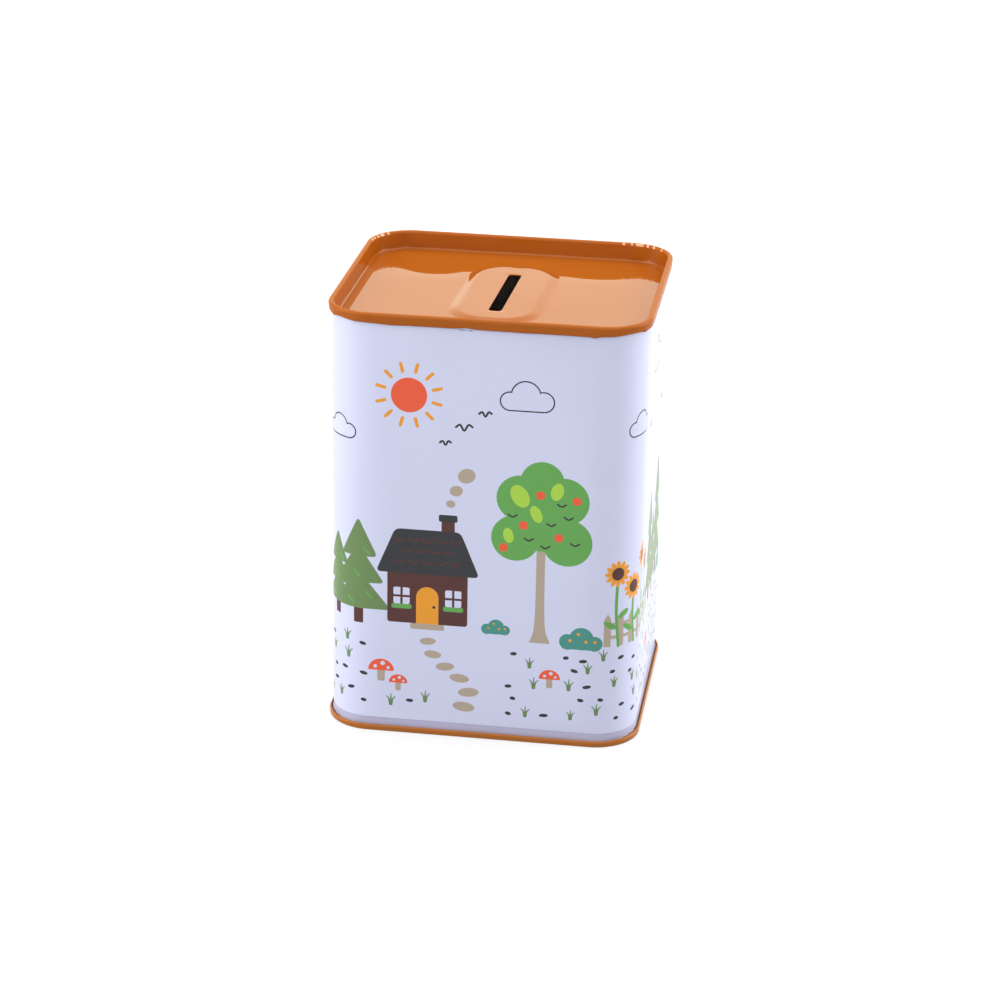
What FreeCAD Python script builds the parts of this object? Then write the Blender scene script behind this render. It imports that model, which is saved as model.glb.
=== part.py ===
"""Tin money box: a printed tinplate body, a base seamed on for good and a push-on lid with a coin slot.

The origin is the middle of the base on the surface that the box stands on. Z is up and the front faces -Y.
Every sheet is drawn as a section at the middle of the back and swept round the box's rounded rectangle.
In those sections, "out" is the distance outwards from the outer face of the printed wall.
"""
import FreeCAD, Part
import os
from math import hypot, sqrt

import Sketcher

# Driving sizes, in millimetres and degrees.
SIZES = {
    # The whole box: its printed wall over the outer faces, and its height to the top of the lid's rim.
    "body_width": 80.0,
    "body_depth": 72.2,
    "corner_radius": 11.0,
    "overall_height": 114.0,
    "plate": 0.25,
    # Folded top edge of the body, and the room between its crown and the lid's rim.
    "hem_height": 1.5,
    "hem_gap": 0.1,
    "seat_gap": 0.08,
    # Flared bottom edge of the body, as an arc that starts on the wall.
    "flare_radius": 4.5,
    "flare_angle": 34.0,
    "flare_tip_height": 1.15,
    # Lock seam down the middle of the back: three more layers inside and a closing line outside.
    "seam_width": 4.5,
    "seam_thickness": 0.6,
    "seam_end_room": 1.0,
    "seam_line_width": 0.4,
    "seam_line_depth": 0.1,
    # Lid: wall that plugs into the mouth, rolled rim and sunken panel.
    "plug_clearance": 0.1,
    "rim_clearance": 0.2,
    "rim_height": 2.7,
    "rim_lip_bend": 0.05,
    "recess_depth": 4.9,
    "panel_bend": 0.5,
    # Raised pad of the lid, measured at its foot, and the coin slot in it.
    "pad_width": 23.6,
    "pad_length": 48.6,
    "pad_corner": 8.0,
    "pad_slope": 2.2,
    "pad_height": 0.6,
    "slot_width": 3.1,
    "slot_length": 30.0,
    "slot_corner": 0.9,
    # Base: rolled seam, sunken panel and the stiffening step pressed into that panel.
    "layer_gap": 0.05,
    "seam_height": 2.0,
    "seat_bend": 0.2,
    "base_rise": 2.6,
    "base_step_inset": 9.0,
    "base_step_corner": 6.0,
    "base_step_slope": 1.5,
    "base_step_height": 0.6,
}

doc = FreeCAD.newDocument("tin_money_box")


def fill_sheet():
    cells = doc.addObject("Spreadsheet::Sheet", "Sizes")
    for row, (name, number) in enumerate(SIZES.items(), start=1):
        cells.set(f"A{row}", name)
        cells.set(f"B{row}", str(number))
        cells.setAlias(f"B{row}", name)
    doc.recompute()
    return cells


sheet = fill_sheet()


def size_of(expression):
    return float(sheet.evalExpression(expression))


def new_sketch(body, name, plane, height=None):
    """A sketch on one of the body's own origin planes, lifted to a height where one is given."""
    sketch = body.newObject("Sketcher::SketchObject", name)
    origin_plane = next(item for item in body.Origin.OriginFeatures if item.Role == plane)
    sketch.AttachmentSupport = [(origin_plane, "")]
    sketch.MapMode = "FlatFace"
    if height:
        sketch.setExpression("AttachmentOffset.Base.z", height)
    return sketch


def arc_between(start, end, radius, turn):
    """The short arc from start to end that turns left or right, and which of its ends comes first."""
    chord = end - start
    half = hypot(chord.x, chord.y) / 2
    reach = sqrt(max(radius * radius - half * half, 0.0))
    side = FreeCAD.Vector(-chord.y, chord.x, 0) / (2 * half)
    if turn == "right":
        side = -side
    centre = (start + end) / 2 + side * reach
    circle = Part.Circle(centre, FreeCAD.Vector(0, 0, 1), radius)
    first, last = (start, end) if turn == "left" else (end, start)
    return Part.ArcOfCircle(circle, circle.parameter(first), circle.parameter(last))


def bind(sketch, constraint, expression):
    index = sketch.addConstraint(constraint)
    sketch.setExpression(f"Constraints[{index}]", expression)


def draw(sketch, corners):
    """Draw a closed outline whose corners, and the radius of any arc that leads to one, are expressions.

    A corner is (x, y) after a straight run, or (x, y, radius, turn) after an arc.
    """
    points = [FreeCAD.Vector(size_of(corner[0]), size_of(corner[1]), 0) for corner in corners]
    ends = []
    for index, corner in enumerate(corners):
        start, end = points[index - 1], points[index]
        if len(corner) == 2:
            sketch.addGeometry(Part.LineSegment(start, end), False)
            ends.append((1, 2))
            continue
        radius, turn = corner[2:]
        sketch.addGeometry(arc_between(start, end, size_of(radius), turn), False)
        ends.append((1, 2) if turn == "left" else (2, 1))
    for index, corner in enumerate(corners):
        following = (index + 1) % len(corners)
        last = ends[index][1]
        sketch.addConstraint(Sketcher.Constraint("Coincident", index, last, following, ends[following][0]))
        bind(sketch, Sketcher.Constraint("DistanceX", index, last, points[index].x), corner[0])
        bind(sketch, Sketcher.Constraint("DistanceY", index, last, points[index].y), corner[1])
        if len(corner) > 2:
            bind(sketch, Sketcher.Constraint("Radius", index, size_of(corner[2])), corner[2])
    doc.recompute()


def rounded_rectangle(sketch, width, depth, radius):
    """A rounded rectangle about the origin that starts at the middle of its back."""
    right, back = f"({width}) / 2", f"({depth}) / 2"
    right_run, back_run = f"{right} - ({radius})", f"{back} - ({radius})"
    draw(sketch, [
        ("0", back),
        (right_run, back),
        (right, back_run, radius, "right"),
        (right, f"-({back_run})"),
        (right_run, f"-({back})", radius, "right"),
        (f"-({right_run})", f"-({back})"),
        (f"-({right})", f"-({back_run})", radius, "right"),
        (f"-({right})", back_run),
        (f"-({right_run})", back, radius, "right"),
    ])


def sweep_section(body, name, section):
    """Sweep a section, drawn as (out, height) corners, round the outline of the printed wall."""
    path = new_sketch(body, f"{name}_path", "XY_Plane")
    rounded_rectangle(path, "Sizes.body_width", "Sizes.body_depth", "Sizes.corner_radius")
    profile = new_sketch(body, f"{name}_section", "YZ_Plane")
    draw(profile, [(f"Sizes.body_depth / 2 + ({corner[0]})", *corner[1:]) for corner in section])
    sweep = body.newObject("PartDesign::AdditivePipe", name)
    sweep.Profile = profile
    sweep.Spine = (path, [f"Edge{number + 1}" for number in range(len(path.Geometry))])
    doc.recompute()


def add_panel(body, name, edge, top):
    """Fill the flat sheet inside a swept edge: edge is how far out it ends and top is its upper face."""
    outline = new_sketch(body, f"{name}_outline", "XY_Plane", f"{top} - Sizes.plate")
    rounded_rectangle(
        outline,
        f"Sizes.body_width + 2 * ({edge})",
        f"Sizes.body_depth + 2 * ({edge})",
        f"Sizes.corner_radius + ({edge})",
    )
    panel = body.newObject("PartDesign::Pad", name)
    panel.Profile = outline
    panel.setExpression("Length", "Sizes.plate")
    doc.recompute()


def press_step(body, name, width, length, corner, slope, rise, top):
    """Press a step with sloping sides up out of a flat panel, from below as well as above."""
    faces = (
        ("PartDesign::AdditiveLoft", "upper", top),
        ("PartDesign::SubtractiveLoft", "lower", f"{top} - Sizes.plate"),
    )
    for kind, side, level in faces:
        foot = new_sketch(body, f"{name}_{side}_foot", "XY_Plane", level)
        rounded_rectangle(foot, width, length, corner)
        crown = new_sketch(body, f"{name}_{side}_crown", "XY_Plane", f"{level} + {rise}")
        rounded_rectangle(crown, f"{width} - 2 * {slope}", f"{length} - 2 * {slope}", f"{corner} - {slope}")
        step = body.newObject(kind, f"{name}_{side}")
        step.Profile = foot
        step.Sections = [crown]
        step.Ruled = True
        doc.recompute()


def make_body_shell():
    """Printed wall, folded out at the top, flared at the bottom and lock-seamed down the back."""
    body = doc.addObject("PartDesign::Body", "body_shell")
    crown = "(Sizes.overall_height - Sizes.plate - Sizes.seat_gap)"
    fold = f"({crown} - Sizes.hem_gap / 2 - Sizes.plate)"
    hem_end = f"({crown} - Sizes.hem_height)"
    flare_top = "(Sizes.flare_tip_height + Sizes.flare_radius * sin(Sizes.flare_angle))"
    outer_bend, inner_bend = "Sizes.flare_radius", "(Sizes.flare_radius + Sizes.plate)"
    half_gap = "Sizes.hem_gap / 2"
    round_fold = f"{half_gap} + Sizes.plate"
    sweep_section(body, "wall", [
        ("0", flare_top),
        (
            f"{outer_bend} * (1 - cos(Sizes.flare_angle))",
            "Sizes.flare_tip_height",
            outer_bend,
            "left",
        ),
        (
            f"Sizes.flare_radius - {inner_bend} * cos(Sizes.flare_angle)",
            f"{flare_top} - {inner_bend} * sin(Sizes.flare_angle)",
        ),
        ("-Sizes.plate", flare_top, inner_bend, "right"),
        ("-Sizes.plate", fold),
        (half_gap, crown, round_fold, "right"),
        ("Sizes.hem_gap + Sizes.plate", fold, round_fold, "right"),
        ("Sizes.hem_gap + Sizes.plate", hem_end),
        ("Sizes.hem_gap", hem_end),
        ("Sizes.hem_gap", fold),
        (half_gap, f"{fold} + {half_gap}", half_gap, "left"),
        ("0", fold, half_gap, "left"),
    ])

    foot = f"(max({flare_top}; Sizes.base_rise) + Sizes.seam_end_room)"
    head = "(Sizes.overall_height - Sizes.recess_depth - Sizes.plate - Sizes.seam_end_room)"
    inner_face = "(Sizes.body_depth / 2 - Sizes.plate)"
    layers = new_sketch(body, "seam_layers_outline", "XY_Plane", foot)
    draw(layers, [
        ("-Sizes.seam_width / 2", f"{inner_face} - Sizes.seam_thickness"),
        ("Sizes.seam_width / 2", f"{inner_face} - Sizes.seam_thickness"),
        ("Sizes.seam_width / 2", f"{inner_face} + Sizes.plate / 2"),
        ("-Sizes.seam_width / 2", f"{inner_face} + Sizes.plate / 2"),
    ])
    seam = body.newObject("PartDesign::Pad", "seam_layers")
    seam.Profile = layers
    seam.setExpression("Length", f"{head} - {foot}")
    doc.recompute()

    line_floor = "(Sizes.body_depth / 2 - Sizes.seam_line_depth)"
    line = new_sketch(body, "seam_line_outline", "XY_Plane", foot)
    draw(line, [
        ("Sizes.seam_width / 2 - Sizes.seam_line_width", line_floor),
        ("Sizes.seam_width / 2", line_floor),
        ("Sizes.seam_width / 2", f"{line_floor} + 2 * Sizes.seam_line_depth"),
        ("Sizes.seam_width / 2 - Sizes.seam_line_width", f"{line_floor} + 2 * Sizes.seam_line_depth"),
    ])
    groove = body.newObject("PartDesign::Pocket", "seam_line")
    groove.Profile = line
    groove.Reversed = True
    groove.setExpression("Length", f"{head} - {foot}")
    doc.recompute()
    return body


def make_base_plate():
    """Sunken panel whose edge goes down inside the wall, out along the floor and up over the flare."""
    body = doc.addObject("PartDesign::Body", "base_plate")
    inner_out = "(-Sizes.plate - Sizes.layer_gap)"
    inner_in = "(-2 * Sizes.plate - Sizes.layer_gap)"
    flare_tip = "Sizes.flare_radius * (1 - cos(Sizes.flare_angle))"
    outer_out = f"({flare_tip} + Sizes.layer_gap + Sizes.plate)"
    outer_in = f"({flare_tip} + Sizes.layer_gap)"
    flare_top = "(Sizes.flare_tip_height + Sizes.flare_radius * sin(Sizes.flare_angle))"
    lip_under = "(Sizes.seam_height - Sizes.plate)"
    lip_drop = f"({flare_top} - {lip_under})"
    lip_tip = (
        f"(Sizes.flare_radius - sqrt(Sizes.flare_radius * Sizes.flare_radius - {lip_drop} * {lip_drop})"
        " + Sizes.layer_gap)"
    )
    curl = f"({outer_out} - {lip_tip})"
    inner_curl = f"({curl} - Sizes.plate)"
    seat_round = "(Sizes.seat_bend + Sizes.plate)"
    panel_edge = f"({inner_in} - Sizes.panel_bend)"
    sheet_under = "(Sizes.base_rise - Sizes.plate)"
    sweep_section(body, "seam", [
        (f"{panel_edge} - Sizes.panel_bend", "Sizes.base_rise"),
        (f"{panel_edge} - Sizes.panel_bend", sheet_under),
        (panel_edge, sheet_under),
        (inner_in, f"{sheet_under} - Sizes.panel_bend", "Sizes.panel_bend", "right"),
        (inner_in, seat_round),
        (f"{inner_in} + {seat_round}", "0", seat_round, "left"),
        (f"{outer_out} - {seat_round}", "0"),
        (outer_out, seat_round, seat_round, "left"),
        (outer_out, f"Sizes.seam_height - {curl}"),
        (lip_tip, "Sizes.seam_height", curl, "left"),
        (lip_tip, lip_under),
        (outer_in, f"Sizes.seam_height - {curl}", inner_curl, "right"),
        (outer_in, seat_round),
        (f"{outer_out} - {seat_round}", "Sizes.plate", "Sizes.seat_bend", "right"),
        (f"{inner_in} + {seat_round}", "Sizes.plate"),
        (inner_out, seat_round, "Sizes.seat_bend", "right"),
        (inner_out, f"{sheet_under} - Sizes.panel_bend"),
        (panel_edge, "Sizes.base_rise", "Sizes.panel_bend + Sizes.plate", "left"),
    ])
    add_panel(body, "panel", f"{panel_edge} - Sizes.panel_bend / 2", "Sizes.base_rise")
    press_step(
        body,
        "step",
        "(Sizes.body_width - 2 * Sizes.base_step_inset)",
        "(Sizes.body_depth - 2 * Sizes.base_step_inset)",
        "Sizes.base_step_corner",
        "Sizes.base_step_slope",
        "Sizes.base_step_height",
        "Sizes.base_rise",
    )
    return body


def make_lid():
    """Plug wall, rolled rim over the body's folded edge, sunken panel, raised pad and coin slot."""
    body = doc.addObject("PartDesign::Body", "lid")
    plug_out = "(-Sizes.plate - Sizes.plug_clearance)"
    plug_in = "(-2 * Sizes.plate - Sizes.plug_clearance)"
    lip = "(Sizes.rim_lip_bend + Sizes.plate)"
    lip_tip = "(Sizes.hem_gap + Sizes.plate + Sizes.rim_clearance)"
    rim_out = f"({lip_tip} + {lip})"
    rim_in = f"({rim_out} - Sizes.plate)"
    roll = f"(({rim_out} - {plug_in}) / 2)"
    inner_roll = f"({roll} - Sizes.plate)"
    roll_middle = f"(({rim_out} + {plug_in}) / 2)"
    spring_line = f"(Sizes.overall_height - {roll})"
    rim_foot = "(Sizes.overall_height - Sizes.rim_height)"
    lip_level = f"({rim_foot} + {lip})"
    panel_top = "(Sizes.overall_height - Sizes.recess_depth)"
    panel_edge = f"({plug_in} - Sizes.panel_bend)"
    bend_level = f"({panel_top} + Sizes.panel_bend)"
    sweep_section(body, "rim", [
        (f"{panel_edge} - Sizes.panel_bend", panel_top),
        (f"{panel_edge} - Sizes.panel_bend", f"{panel_top} - Sizes.plate"),
        (panel_edge, f"{panel_top} - Sizes.plate"),
        (plug_out, bend_level, "Sizes.panel_bend + Sizes.plate", "left"),
        (plug_out, spring_line),
        (roll_middle, "Sizes.overall_height - Sizes.plate", inner_roll, "right"),
        (rim_in, spring_line, inner_roll, "right"),
        (rim_in, lip_level),
        (lip_tip, f"{rim_foot} + Sizes.plate", "Sizes.rim_lip_bend", "right"),
        (lip_tip, rim_foot),
        (rim_out, lip_level, lip, "left"),
        (rim_out, spring_line),
        (roll_middle, "Sizes.overall_height", roll, "left"),
        (plug_in, spring_line, roll, "left"),
        (plug_in, bend_level),
        (panel_edge, panel_top, "Sizes.panel_bend", "right"),
    ])
    add_panel(body, "panel", f"{panel_edge} - Sizes.panel_bend / 2", panel_top)
    press_step(
        body,
        "pad",
        "Sizes.pad_width",
        "Sizes.pad_length",
        "Sizes.pad_corner",
        "Sizes.pad_slope",
        "Sizes.pad_height",
        panel_top,
    )

    opening = new_sketch(body, "slot_outline", "XY_Plane", f"{panel_top} + Sizes.pad_height")
    rounded_rectangle(opening, "Sizes.slot_width", "Sizes.slot_length", "Sizes.slot_corner")
    slot = body.newObject("PartDesign::Pocket", "coin_slot")
    slot.Profile = opening
    slot.setExpression("Length", "2 * Sizes.plate")
    doc.recompute()
    return body


def check_document():
    for item in doc.Objects:
        if {"Invalid", "Error"} & set(item.State):
            raise RuntimeError(f"{item.Label} failed: {item.State}")


def write_parts(pieces):
    for piece in pieces:
        shape = piece.Shape
        if shape.isNull() or not shape.isValid() or len(shape.Solids) != 1:
            raise RuntimeError(f"{piece.Label} is not one valid solid")
    os.makedirs("parts", exist_ok=True)
    for piece in pieces:
        piece.Shape.exportStep(f"parts/{piece.Label}.step")
        box = piece.Shape.optimalBoundingBox()
        extent = f"{box.XLength:.2f} x {box.YLength:.2f} x {box.ZLength:.2f} mm"
        print(piece.Label, f"{piece.Shape.Volume:.1f} mm3", extent)


pieces = [make_body_shell(), make_base_plate(), make_lid()]
doc.recompute()
check_document()
write_parts(pieces)
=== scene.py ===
"""Looks of the tin money box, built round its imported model: printed wall, seamed base and push-on lid."""

import math
import random

import bmesh
import bpy
import numpy as np
from mathutils import Matrix, Vector
from mathutils.geometry import delaunay_2d_cdt


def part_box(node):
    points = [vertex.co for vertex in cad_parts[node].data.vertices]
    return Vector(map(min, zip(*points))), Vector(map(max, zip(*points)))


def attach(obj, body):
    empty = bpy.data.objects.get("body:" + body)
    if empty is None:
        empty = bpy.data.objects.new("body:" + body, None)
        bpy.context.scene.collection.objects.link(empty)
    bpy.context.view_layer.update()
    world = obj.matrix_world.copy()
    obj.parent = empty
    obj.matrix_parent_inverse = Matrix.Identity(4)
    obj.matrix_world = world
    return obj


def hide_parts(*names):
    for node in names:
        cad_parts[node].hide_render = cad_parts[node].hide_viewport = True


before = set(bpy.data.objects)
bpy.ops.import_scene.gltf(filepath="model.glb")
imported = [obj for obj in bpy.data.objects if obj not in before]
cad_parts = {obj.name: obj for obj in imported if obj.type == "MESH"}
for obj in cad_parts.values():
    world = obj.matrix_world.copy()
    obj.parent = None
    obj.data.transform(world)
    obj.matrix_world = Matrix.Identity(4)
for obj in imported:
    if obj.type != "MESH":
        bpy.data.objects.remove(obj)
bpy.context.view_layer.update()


# Body shell: one sheet of tinplate, printed flat in opaque inks and varnished, then bent into a rounded
# rectangle and closed by a folded lock seam down the back. Its top edge is folded out into a hem, and
# its bottom edge flares out to be rolled into the base.
mm = 0.001
plate = 0.25 * mm
corner_radius = 11 * mm
rim_overhang = 0.85 * mm
lid_low, lid_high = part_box("lid")
shell_low, shell_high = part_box("body_shell")
half_width = lid_high.x - rim_overhang
half_depth = lid_high.y - rim_overhang

flat_x = half_width - corner_radius
flat_y = half_depth - corner_radius
corner_run = math.pi / 2 * corner_radius
wall_runs = (
    flat_x, corner_run, 2 * flat_y, corner_run, 2 * flat_x, corner_run, 2 * flat_y, corner_run, flat_x,
)
girth = sum(wall_runs)

flare_radius = 2.4 * mm
flare_out = 0.77 * mm
flare_angle = math.degrees(math.acos(1 - flare_out / flare_radius))
flare_top = shell_low.z + (flare_radius + plate) * math.sin(math.radians(flare_angle))
hem_gap = 0.1 * mm
hem_height = 1.5 * mm
hem_fold = shell_high.z - hem_gap / 2 - plate
hem_end = shell_high.z - hem_height
seam_half = 2.25 * mm
seam_thickness = 0.6 * mm
seam_line_half = 0.2 * mm
seam_line_depth = 0.1 * mm
seam_foot = flare_top + 1.4 * mm
seam_head = lid_low.z - 1.0 * mm
neck_top = flare_top + 0.6 * mm
neck_depth = 0.075 * mm
seam_end = 1.0 * mm
seam_lip = 1.65 * mm
corner_steps = 30


def round_ring(half_x, half_y, radius, level, alongs):
    """Ring of points round a rounded rectangle, at the places that distances along the wall stand for."""
    x, y = half_x - radius, half_y - radius
    straights = {
        0: ((0, -half_y), (x, -half_y)),
        2: ((half_x, -y), (half_x, y)),
        4: ((x, half_y), (-x, half_y)),
        6: ((-half_x, y), (-half_x, -y)),
        8: ((-x, -half_y), (0, -half_y)),
    }
    corners = {1: (x, -y, -90), 3: (x, y, 0), 5: (-x, y, 90), 7: (-x, -y, 180)}
    points = []
    for along in alongs:
        rest, run = along % girth, 0
        while run < 8 and rest > wall_runs[run]:
            rest -= wall_runs[run]
            run += 1
        share = rest / wall_runs[run]
        if run in straights:
            (x0, y0), (x1, y1) = straights[run]
            points.append((x0 + (x1 - x0) * share, y0 + (y1 - y0) * share, level))
        else:
            middle_x, middle_y, start = corners[run]
            turn = math.radians(start + 90 * share)
            points.append((middle_x + radius * math.cos(turn), middle_y + radius * math.sin(turn), level))
    return np.array(points)


def wall_ring(out, level, alongs):
    """Ring of points a distance out from the wall's printed face."""
    return round_ring(half_width + out, half_depth + out, corner_radius + out, level, alongs)


def places_along(corner_steps, longest):
    """Distances along the wall, from the middle of the front towards +X, with even steps in each run."""
    alongs, start = [], 0.0
    for run, length in enumerate(wall_runs):
        steps = corner_steps if run % 2 else max(1, math.ceil(length / longest))
        alongs += [start + length * step / steps for step in range(steps)]
        start += length
    return alongs


def arc(middle, radius, start, end, steps):
    """Points (out, level) on an arc of a section, both ends included, with its angles in degrees."""
    turns = np.radians(np.linspace(start, end, steps + 1))
    return [(middle[0] + radius * math.cos(turn), middle[1] + radius * math.sin(turn)) for turn in turns]


def straight(start, end, steps):
    """Points (out, level) on a straight stretch of a section, both ends included."""
    way = np.subtract(end, start)
    return [tuple(start + way * (step / steps)) for step in range(steps + 1)]


# The print: outlines in millimetres, along the wall from the middle of the front and up from the floor,
# laid one over another in printing order.
print_shapes = []


def lay(ink, outline):
    """Print a closed outline over what has been laid so far."""
    print_shapes.append((ink, [tuple(point) for point in outline]))


def disc(s, z, half_wide, half_tall=None, turn=0):
    """Ellipse, turned by degrees."""
    half_tall = half_tall or half_wide
    points = max(10, min(44, int(9 * max(half_wide, half_tall) ** 0.5 + 8)))
    cos, sin = math.cos(math.radians(turn)), math.sin(math.radians(turn))
    outline = []
    for step in range(points):
        angle = 2 * math.pi * step / points
        across, up = half_wide * math.cos(angle), half_tall * math.sin(angle)
        outline.append((s + across * cos - up * sin, z + across * sin + up * cos))
    return outline


def soft(points, radius, steps=5):
    """Polygon with its corners rounded off."""
    outline = []
    for before, corner, after in zip(points[-1:] + points[:-1], points, points[1:] + points[:1]):
        corner = np.array(corner, float)
        arms = [np.array(end, float) - corner for end in (before, after)]
        reach = [arm / np.linalg.norm(arm) * min(radius, 0.45 * np.linalg.norm(arm)) for arm in arms]
        for step in range(steps + 1):
            share = step / steps
            outline.append(corner + reach[0] * (1 - share) ** 2 + reach[1] * share**2)
    return outline


def box(s, z, half_wide, tall, radius=0.5):
    """Upright rectangle with rounded corners, standing on z."""
    left, right, top = s - half_wide, s + half_wide, z + tall
    return soft([(left, z), (right, z), (right, top), (left, top)], radius)


def bent(points, steps=6):
    """Smooth open line through points."""
    ends = [2 * np.array(points[0], float) - points[1]], [2 * np.array(points[-1], float) - points[-2]]
    line = [np.array(point, float) for point in [*ends[0], *points, *ends[1]]]
    smooth = []
    for a, b, c, d in zip(line, line[1:], line[2:], line[3:]):
        for step in range(steps):
            t = step / steps
            smooth.append(0.5 * (2 * b + (c - a) * t + (2 * a - 5 * b + 4 * c - d) * t**2
                                 + (3 * b - a - 3 * c + d) * t**3))
    return smooth + [line[-2]]


def stroke(points, width, end_width=None):
    """Ribbon with round ends along a line, widening or narrowing to end_width."""
    line = np.array(points, float)
    tangents = np.gradient(line, axis=0)
    tangents /= np.linalg.norm(tangents, axis=1)[:, None]
    sides = np.stack([-tangents[:, 1], tangents[:, 0]], axis=1)
    halves = np.linspace(width, width if end_width is None else end_width, len(line))[:, None] / 2
    caps = []
    for place, way in ((-1, 1), (0, -1)):
        turns = np.radians(np.linspace(72, -72, 5))[:, None]
        caps.append(line[place] + halves[place] * (way * np.cos(turns) * tangents[place]
                                                   + way * np.sin(turns) * sides[place]))
    return list(line + halves * sides) + list(caps[0]) + list((line - halves * sides)[::-1]) + list(caps[1])


def cottage(s, z):
    """Cottage with a hipped roof, a round-topped door and two windows."""
    lay("brick", box(s + 5.2, z + 20, 1.7, 9.6, 0.3))
    lay("soot", box(s + 5.2, z + 28.6, 2.4, 1.9, 0.5))
    for puff, (across, up, half) in enumerate(((0.6, 33.6, 1.2), (2.0, 37.2, 1.7), (4.6, 41.4, 2.3))):
        lay("stone", disc(s + 5.2 + across, z + up, half, 0.85 * half, 12 * puff))
    lay("brick", box(s, z, 10.4, 15, 0.8))
    eaves, ridge = z + 13.8, z + 26
    lay("soot", soft([(s - 13.4, eaves), (s + 13.4, eaves), (s + 8.4, ridge), (s - 8.4, ridge)], 1.5))
    for row in range(3):
        for tile in range(5 - row % 2):
            middle = s + (tile - 2 + 0.5 * (row % 2)) * 3.6
            up = z + 16.6 + 3.0 * row
            scallop = [(middle - 1.2, up + 0.7), (middle, up), (middle + 1.2, up + 0.7)]
            lay("brick", stroke(bent(scallop, 4), 0.5))
    lay("amber", [(s + 2.9 * math.cos(turn), z + 7.4 + 2.9 * math.sin(turn))
                  for turn in np.radians(np.linspace(0, 180, 17))] + [(s - 2.9, z), (s + 2.9, z)])
    lay("soot", disc(s + 1.7, z + 4.8, 0.42))
    for side in (-6.7, 6.7):
        lay("paper", box(s + side, z + 5.2, 2.1, 4.6, 0.5))
        lay("brick", box(s + side, z + 5, 0.3, 5, 0.1))
        lay("brick", box(s + side, z + 7.1, 2.3, 0.6, 0.1))
        lay("leaf", box(s + side, z + 3.9, 2.6, 1.3, 0.5))
    lay("stone", box(s, z - 1.6, 4.4, 1.6, 0.5))


def round_tree(s, z):
    """Broad tree with apples and lighter leaf patches."""
    lay("stone", bent([(s - 2.6, z), (s - 1.3, z + 6), (s - 1.1, z + 28)]) +
        bent([(s + 1.1, z + 28), (s + 1.3, z + 6), (s + 2.8, z)]))
    for across, up, half in ((0, 34, 8.6), (-6.6, 28.6, 6.2), (6.6, 28.2, 6.4), (-5.4, 39.4, 6.2),
                             (5.6, 39.2, 6.4), (0, 44, 5.6)):
        lay("leaf", disc(s + across, z + up, half))
    for across, up, wide, tall, turn in ((-5.6, 40, 2.2, 3.2, 30), (-1.4, 35.4, 1.4, 2.4, 24),
                                         (3.8, 41.8, 1.6, 2.4, -16), (-8.4, 29.2, 1.3, 2.1, 12)):
        lay("lime", disc(s + across, z + up, wide, tall, turn))
    folds = ((2.4, 32.6), (6.8, 34.6), (-3.2, 28.2), (1.0, 26.4), (8.6, 27.6), (-7.4, 34.4), (5.0, 38.0))
    for across, up in folds:
        fold = [(s + across - 1.1, z + up + 0.5),
                (s + across, z + up - 0.1),
                (s + across + 1.1, z + up + 0.5)]
        lay("soot", stroke(bent(fold, 4), 0.45))
    for across, up in ((-4.6, 32.2), (4.4, 29.4), (8.8, 39.6), (-0.4, 40.6), (-9.6, 25.8)):
        lay("coral", disc(s + across, z + up, 1.15))


def conifer(s, z, tall):
    """Fir of three stacked tiers on a short trunk."""
    lay("brick", box(s, z, 0.045 * tall, 0.2 * tall, 0.3))
    for tier in range(3):
        half, foot = (0.30 - 0.062 * tier) * tall, z + (0.14 + 0.25 * tier) * tall
        lay("pine", soft([(s - half, foot), (s + half, foot), (s, foot + 0.37 * tall)], 0.05 * tall))
    for across, up in ((-0.1, 0.24), (0.07, 0.3), (-0.04, 0.5), (0.05, 0.72)):
        needle = [(s + across * tall, z + up * tall),
                  (s + (across + 0.05) * tall, z + (up - 0.05) * tall)]
        lay("leaf", stroke(needle, 0.5))


def sun(s, z, half):
    """Plain disc with short rays."""
    lay("coral", disc(s, z, half))
    for ray in range(12):
        turn = 2 * math.pi * (ray + 0.5) / 12
        way = np.array((math.cos(turn), math.sin(turn)))
        lay("amber", stroke([(s, z) + way * 1.38 * half, (s, z) + way * 1.82 * half], 0.19 * half))


def cloud(s, z, size):
    """Cloud in thin outline, flat underneath."""
    puffs = ((-4.6, 2.6, 2.6), (-0.6, 4.3, 3.9), (3.9, 2.8, 2.8))
    line = 0.36
    for ink, inset in (("soot", 0), ("paper", line)):
        for across, up, half in puffs:
            lay(ink, disc(s + across * size, z + up * size, half * size - inset))
        lay(ink, box(s - 0.3 * size, z + inset, 4.4 * size, 3 * size - inset, 0.05))


def bird(s, z, span):
    """Far bird in one stroke."""
    wing = [(-0.5, 0.2), (-0.24, 0.36), (0, 0), (0.26, 0.38), (0.5, 0.26)]
    lay("soot", stroke(bent([(s + a * span, z + b * span) for a, b in wing], 5), 0.55))


def bush(s, z, size):
    """Low clipped bush with berries."""
    for across, up, half in ((-3.2, 1.9, 2.1), (0.2, 2.9, 3.0), (3.4, 1.8, 2.0)):
        lay("bush", disc(s + across * size, z + up * size, half * size))
    lay("bush", box(s, z, 4.6 * size, 2.2 * size, 0.7 * size))
    for across, up in ((-2.6, 2.3), (-0.6, 4.1), (1.3, 2.2), (3.5, 2.3)):
        lay("amber", disc(s + across * size, z + up * size, 0.42 * size))


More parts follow.
